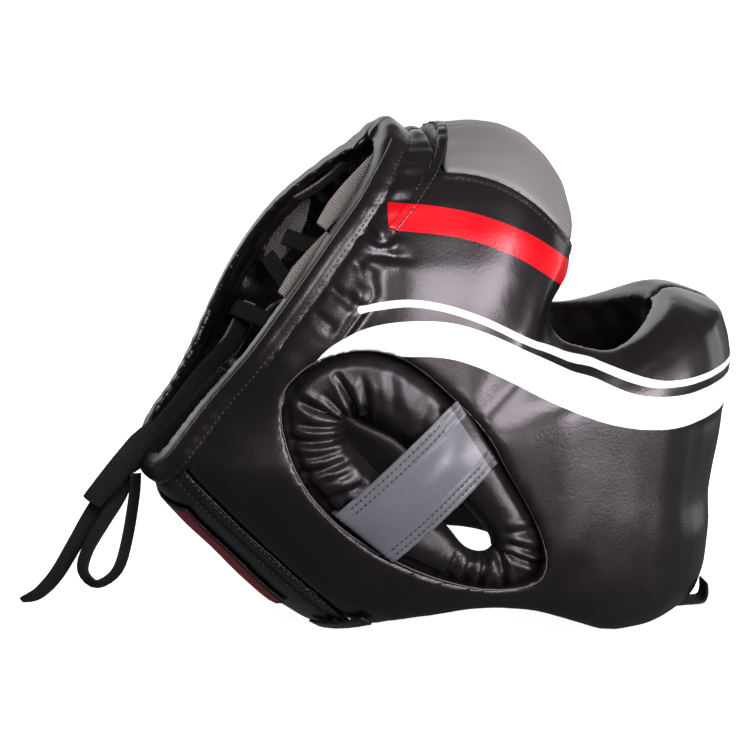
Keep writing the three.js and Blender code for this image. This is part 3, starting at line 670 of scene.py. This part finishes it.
# ear straps: turned hems along both long edges
earStrap = {
    "voxel": 0.8,
    "rounds": 14,
    "cap": 0.7,
    "ends": {"right": ((-47, 64), (0, 108)), "left": ((-37, 59.5), (6.5, 97))},
    "width": 37,
    "hem": 7.5,
    "rise": 0.45,
    "rows": (2.6, 5.8),
    "groove": 0.5,
    "crown": 2.0,
    "bow": 2.6,
    "endStrip": 5,
    "onHigh": (1, 8.5),
    "onLow": (3.7, 7.7),
}


# start, direction and length of a strap in side view
def strapLine(word):
    low, high = (np.array(end, float) for end in earStrap["ends"][word])
    length = np.linalg.norm(high - low)
    return low, (high - low) / length, length


straps = {}
for word in ("right", "left"):
    piece = makeStrip("sewn_ear_strap_" + word, "ear_strap_" + word, earStrap)
    points = pointsOf(piece) / mm
    normals = pointsOf(piece, "normal")
    low, step, length = strapLine(word)
    across = (points[:, [0, 2]] - low) @ np.array((-step[1], step[0]))
    along = (points[:, [0, 2]] - low) @ step
    rim = earStrap["width"] / 2 - np.abs(across)
    outside = smoothStep(0.1, 0.5, normals[:, 1] * np.sign(points[:, 1]))
    height = earStrap["rise"] * smoothStep(earStrap["hem"] + 0.6, earStrap["hem"] - 0.6, rim)
    for row in earStrap["rows"]:
        height -= earStrap["groove"] * np.exp(-((rim - row) / 0.8) ** 2)
    ends = smoothStep(-4, 18, along) * smoothStep(length + 6, length - 20, along)
    height += earStrap["crown"] * smoothStep(0, 18, rim) * ends
    lined = normals[:, 1] * np.sign(points[:, 1]) < -0.3
    setMark(piece, "endMark", np.where(lined, 1, along - length + earStrap["endStrip"]))
    # both ends run on under the rim, further on the upper edge than on the lower one
    half = (-earStrap["width"] / 2, earStrap["width"] / 2)
    onwards = np.interp(across, half, earStrap["onHigh"]) * smoothStep(0.55 * length, length, along)
    onwards -= np.interp(across, half, earStrap["onLow"]) * smoothStep(0.45 * length, 0, along)
    moved = points + normals * (outside * height)[:, None]
    moved[:, [0, 2]] += onwards[:, None] * step
    bow = np.sin(math.pi * np.clip(along / length, 0, 1))
    moved[:, 1] += np.sign(points[:, 1]) * earStrap["bow"] * bow
    movePoints(piece, moved * mm)
    finishPiece(piece, ["ear_strap_" + word], strapLeather)
    straps[word] = piece


# new mesh from corners in metres, smooth and with its normals outwards
def newPiece(pieceName, corners, faces):
    mesh = bpy.data.meshes.new(pieceName)
    mesh.from_pydata(corners, [], faces)
    mesh.validate()
    piece = bpy.data.objects.new(pieceName, mesh)
    scene.collection.objects.link(piece)
    selectOnly(piece)
    bpy.ops.object.mode_set(mode="EDIT")
    bpy.ops.mesh.select_all(action="SELECT")
    bpy.ops.mesh.normals_make_consistent(inside=False)
    bpy.ops.object.mode_set(mode="OBJECT")
    bpy.ops.object.shade_smooth()
    return piece


# closed mesh of rings along a line
def ringMesh(pieceName, rings, closed):
    count, size = rings.shape[:2]
    faces = []
    for i in range(count if closed else count - 1):
        a = i * size
        b = (i + 1) % count * size
        for k in range(size):
            m = (k + 1) % size
            faces.append((a + k, b + k, b + m, a + m))
    if not closed:
        faces.append(tuple(range(size)))
        faces.append(tuple((count - 1) * size + k for k in reversed(range(size))))
    return newPiece(pieceName, (rings.reshape(-1, 3) * mm).tolist(), faces)


# flat strip along a route, facing the right side of the part and turned by degrees from there
def makeRibbon(pieceName, route, widths, thick, turns, steps):
    size = 14
    centres = curveThrough(route, steps)
    ways = np.gradient(centres, axis=0)
    ways /= np.linalg.norm(ways, axis=1, keepdims=True)
    share = np.linspace(0, 1, steps)
    wide = np.interp(share, np.linspace(0, 1, len(widths)), widths)
    twist = np.interp(share, np.linspace(0, 1, len(turns)), np.radians(turns))
    run = np.concatenate([[0], np.cumsum(np.linalg.norm(np.diff(centres, axis=0), axis=1))])
    angles = 2 * math.pi * np.arange(size) / size
    sideways = np.sign(np.cos(angles)) * np.abs(np.cos(angles)) ** 0.5 / 2
    upwards = np.sign(np.sin(angles)) * np.abs(np.sin(angles)) ** 0.8 / 2
    rings = []
    flow = []
    for i in range(steps):
        facing = np.array((0.0, -1.0, 0.0)) + ways[i] * ways[i][1]
        facing /= np.linalg.norm(facing)
        across = np.cross(ways[i], facing)
        acrossTurned = across * math.cos(twist[i]) + facing * math.sin(twist[i])
        facingTurned = facing * math.cos(twist[i]) - across * math.sin(twist[i])
        u = sideways * wide[i]
        v = upwards * thick
        rings.append(centres[i] + u[:, None] * acrossTurned + v[:, None] * facingTurned)
        flow.append(np.stack([np.full(size, run[i]), u, v], axis=1))
    piece = ringMesh(pieceName, np.array(rings), False)
    setFlow(piece, "flow", np.concatenate(flow) * mm)
    return piece, centres * mm, run[-1] * mm


# webbing loops that show in the crown opening, lens-shaped between their sewn ends
loopThick = 1.6
loops = {
    "lace_loop_right_1": {
        "route": [(-27.9, -18, 235), (-37.4, -22, 225), (-47, -27, 216.2), (-55.2, -33, 208.5),
                  (-63, -40, 200.6)],
        "widths": (6, 9, 9.5, 9, 6), "turns": (10, 5, 0, -5, -10)},
    "lace_loop_right_2": {
        "route": [(-59.5, -42, 197.4), (-67.8, -46, 187.6), (-75.6, -50, 179.8), (-84.4, -54, 170.6)],
        "widths": (4, 8, 8.5, 4), "turns": (10, 0, 0, -10)},
    "lace_loop_left_2": {
        "route": [(-59, 52, 202), (-64, 53, 192), (-69, 56, 180), (-76, 60, 168)],
        "widths": (8, 15, 15, 8), "turns": (-20, -28, -30, -20)},
    "lace_loop_left_3": {
        "route": [(-86, 61, 146), (-91, 59, 134), (-98, 57, 123), (-107, 56, 115)],
        "widths": (6, 12, 12, 7), "turns": (0, 10, 10, 0)},
}
for node, data in loops.items():
    piece, _, _ = makeRibbon("woven_" + node, data["route"], data["widths"], loopThick, data["turns"], 25)
    finishPiece(piece, [node], webbing)

# lace from the last loops to the knot
laceThick = 1.8
laceEnds = {
    "lace_end_left": {
        "route": [(-90, 58, 138), (-96, 52, 128), (-110.5, 40, 116.5), (-130.3, 18, 99.1),
                  (-143.2, 4, 89.4), (-155, -3, 80)],
        "turns": (10, 10, 0, -5, 0)},
    "lace_end_right": {
        "route": [(-109.2, -44, 133), (-118.5, -36, 120.1), (-129.3, -22, 103), (-141.8, -11, 88.8),
                  (-155, -7, 78)],
        "turns": (20, 10, 0, 0, 0)},
}
for node, data in laceEnds.items():
    piece, _, _ = makeRibbon("woven_" + node, data["route"], (9, 9.5, 9), laceThick, data["turns"], 31)
    finishPiece(piece, [node], lace)

# free end and bow of the lace, routes in millimetres
freeLaces = {
    "lace_tail": {
        "route": [(-154.5, 1, 79.5), (-163.6, 3, 66.3), (-172.7, 5, 51.8), (-181.7, 9, 34.6),
                  (-190.8, 15, 17.7), (-199.7, 22, 6.4), (-207.7, 28, 1.8)],
        "widths": (8, 8, 8, 8, 8, 8, 8, 7, 3.5), "turns": (5, 10, -10, 5, 15, 25), "end": "bare"},
    "lace_bow": {
        "route": [(-151.5, -8, 74.5), (-152.6, -9, 62.8), (-156.5, -9, 40.9), (-161.6, -7, 24.7),
                  (-171.5, -4, 17.5), (-178.2, -2, 24), (-175.4, -2, 35.5), (-167.8, -3, 49),
                  (-159.1, -3, 63), (-155, -5, 75)],
        "widths": (8, 8), "turns": (45, 42, 40, 48, 50, 35, 30), "end": "object"},
}
for node, data in freeLaces.items():
    piece, path, length = makeRibbon("woven_" + node, data["route"], data["widths"], laceThick,
                                     data["turns"], 37)
    finishPiece(piece, [node], lace)

# flat knot: a doubled layer that ends on the tail
knot = {
    "route": [(-140, 2, 95), (-149, -4, 88), (-158, -7, 78.5), (-166, -5, 68.5), (-173.2, -2, 59.3)],
    "widths": (10, 13, 13, 12, 10.5),
    "thick": 3.4,
    "turns": (0, 5, 0, -5),
}
piece, _, _ = makeRibbon("tied_knot", knot["route"], knot["widths"], knot["thick"], knot["turns"], 25)
finishPiece(piece, ["lace_knot"], lace)
print("trims done")


# one stitch is a short pill: place along it and share of its radius, ring by ring
stitchForm = {"sides": 6, "rings": [(-0.5, 0.35), (-0.36, 0.85), (0, 1), (0.36, 0.85), (0.5, 0.35)]}
seamStitch = {"pitch": 3.0, "length": 2.3, "radius": 0.42, "sink": 0.05}
strapStitch = {"pitch": 2.8, "length": 2.1, "radius": 0.4, "sink": 0.1}


# rows of stitches laid along the skin
def sewRows(pieceName, rows, stitch):
    sides = stitchForm["sides"]
    radius = stitch["radius"]
    corners = []
    faces = []
    for places, normals in rows:
        places = np.array(places)
        normals = np.array(normals)
        steps = np.linalg.norm(np.diff(places, axis=0), axis=1)
        run = np.concatenate([[0], np.cumsum(steps)])
        pitch = stitch["pitch"] * mm
        for at in np.arange(pitch / 2, run[-1], pitch):
            centre = np.array([np.interp(at, run, places[:, k]) for k in range(3)])
            ahead = np.array([np.interp(at + 0.5 * mm, run, places[:, k]) for k in range(3)])
            behind = np.array([np.interp(at - 0.5 * mm, run, places[:, k]) for k in range(3)])
            up = np.array([np.interp(at, run, normals[:, k]) for k in range(3)])
            way = ahead - behind
            way /= np.linalg.norm(way)
            up -= way * (up @ way)
            up /= np.linalg.norm(up)
            cross = np.cross(way, up)
            start = len(corners)
            for along, share in stitchForm["rings"]:
                lift = -stitch["sink"] - 1.2 * radius * abs(along) * (abs(along) > 0.4)
                middle = centre + (way * along * stitch["length"] + up * lift) * mm
                for k in range(sides):
                    angle = 2 * math.pi * k / sides
                    around = cross * math.cos(angle) + up * math.sin(angle)
                    corners.append(middle + around * radius * share * mm)
            count = len(stitchForm["rings"])
            for i in range(count - 1):
                for k in range(sides):
                    m = (k + 1) % sides
                    a = start + i * sides
                    faces.append((a + k, a + m, a + m + sides, a + k + sides))
            faces.append(tuple(start + k for k in reversed(range(sides))))
            faces.append(tuple(start + (count - 1) * sides + k for k in range(sides)))
    piece = newPiece(pieceName, [tuple(c) for c in corners], faces)
    finishPiece(piece, [], blackThread)


def layRow(skin, line, side):
    places = []
    normals = []
    for x, z in line:
        place, normal = skin.at(x, z, side)
        places.append(place)
        normals.append(normal)
    return places, normals


tapeSkin = Skin([tapeStrip])
barSeam = {"aside": 2.4, "angles": (4, 25)}
seamRows = []
strapRows = []
for side, word, crownName in bothSides:
    skin = Skin([shells[word], crownBinding, rearPanel])
    crown = curveThrough(lines[crownName], 120)
    seamRows.append(layRow(skin, crown[4:-4] + (bindingWidth - 1.2) * intoPanel, side))
    rearLine = curveThrough(lines["rearSeam"], 80)
    for offset in (1.6, 5.4):
        seamRows.append(layRow(skin, rearLine[3:-3] - offset, side))
    strapSkin = Skin([straps[word]])
    low, step, length = strapLine(word)
    aside = np.array((-step[1], step[0]))
    for hand in (-1, 1):
        for rim in earStrap["rows"]:
            offset = aside * hand * (earStrap["width"] / 2 - rim)
            row = [low + step * t + offset for t in np.linspace(0, length - 5, 40)]
            strapRows.append(layRow(strapSkin, row, side))
    browLine = curveThrough(lines["browSeam"], 60)
    seamRows.append(layRow(skin, browLine[4:-2] + np.array((-1.2, -1.8)), side))
    tapeLine = curveThrough(lines["tape"], 40)
    across = np.gradient(tapeLine, axis=0)[:, ::-1] * np.array((1, -1))
    across /= np.linalg.norm(across, axis=1, keepdims=True)
    for hand in (-1.7, 1.7):
        seamRows.append(layRow(tapeSkin, (tapeLine + hand * across)[1:-1], side))
    # seam over the top of the bar, a row each side of the midline
    places = []
    normals = []
    for angle in np.radians(np.linspace(*barSeam["angles"], 24)):
        outwards = Vector((math.cos(angle), 0, math.sin(angle)))
        start = (Vector((formCentre[0], barSeam["aside"] * side, formCentre[2])) + 240 * outwards) * mm
        place, normal, _, _ = skin.tree.ray_cast(start, -outwards)
        places.append(place)
        normals.append(normal)
    seamRows.append((places, normals))
sewRows("seam_stitches", seamRows, seamStitch)
sewRows("strap_stitches", strapRows, strapStitch)

# thin cut edges of the leather, pale partly as a painted highlight along the rims: round the ear openings
# and along the lip of the crown
edge = {"radius": 0.36, "earOut": 0.012, "crownIn": 0.6}
for side, word, crownName in bothSides:
    rim = curveThrough(lines["earRim"], 161)[:-1]
    earRow = rim + edge["earOut"] * (rim - formCentre[[0, 2]])
    crownRow = curveThrough(lines[crownName], 140)[3:-3] + edge["crownIn"] * intoPanel
    for edgeName, row, closed, skin in (("ear", earRow, True, Skin([shells[word]])),
                                        ("crown", crownRow, False, Skin([crownBinding]))):
        centres = np.array([skin.at(x, z, side)[0] for x, z in row]) / mm
        ways = np.gradient(centres, axis=0)
        if closed:
            ways = np.roll(centres, -1, axis=0) - np.roll(centres, 1, axis=0)
        ways /= np.linalg.norm(ways, axis=1, keepdims=True)
        rings = []
        for centre, way in zip(centres, ways):
            one = np.cross(way, (0, 1, 0))
            one /= np.linalg.norm(one)
            other = np.cross(way, one)
            rings.append([centre + edge["radius"] * (one * math.cos(a) + other * math.sin(a))
                          for a in np.arange(6) * math.pi / 3])
        piece = ringMesh("cut_edge_%s_%s" % (edgeName, word), np.array(rings), closed)
        finishPiece(piece, [], cutEdgeWithPaintedHighlight)

# pale floor and soft studio light
floorMaterial = newMaterial("pale floor")
place = addNode(floorMaterial, "ShaderNodeTexCoord", {}, {})["Object"]
speckle = addNode(floorMaterial, "ShaderNodeTexNoise", {}, {"Vector": place, "Scale": 3.0})["Fac"]
paint = addNode(floorMaterial, "ShaderNodeMix", {"data_type": "RGBA"},
                {"Factor": speckle, "A": hexColour("f6f6f6"), "B": hexColour("ffffff")})[2]
feedShader(floorMaterial, {"Base Color": paint, "Roughness": 0.9, "Specular IOR Level": 0.0,
                           "Emission Color": hexColour("ffffff"), "Emission Strength": 0.94})
bpy.ops.mesh.primitive_plane_add(size=30)
floor = bpy.context.object
floor.name = "floor"
floor.data.materials.append(floorMaterial)
floor.visible_glossy = False
floor.visible_diffuse = False
floor.visible_shadow = False

world = bpy.data.worlds.new("studio")
scene.world = world
world.use_nodes = True
world.node_tree.nodes["Background"].inputs["Color"].default_value = hexColour("e8ecf2")
world.node_tree.nodes["Background"].inputs["Strength"].default_value = 0.13
lamps = {
    "front": ((0.57, -1.36, 1.03), (1.1, 0.85), 40),
    "right": ((1.03, -0.78, 0.05), (0.8, 0.2), 11),
    "rim": ((1.17, 0.53, 0.1), (0.4, 0.6), 1.2),
    "low": ((0.42, -1.5, 0.1), (0.25, 0.25), 4),
    "left": ((-0.65, -0.88, 1.16), (0.4, 0.4), 10),
    "backdrop": ((0.0, 1.6, 0.6), (2.4, 1.2), 9),
}
for name, (place, size, power) in lamps.items():
    bpy.ops.object.light_add(type="AREA", location=place)
    lamp = bpy.context.object
    lamp.name = "softbox_" + name
    lamp.data.shape = "RECTANGLE"
    lamp.data.size, lamp.data.size_y = size
    lamp.data.energy = power
    lamp.rotation_euler = (Vector(place) - Vector((-0.01, 0, 0.12))).to_track_quat("Z", "Y").to_euler()
print("stage done")
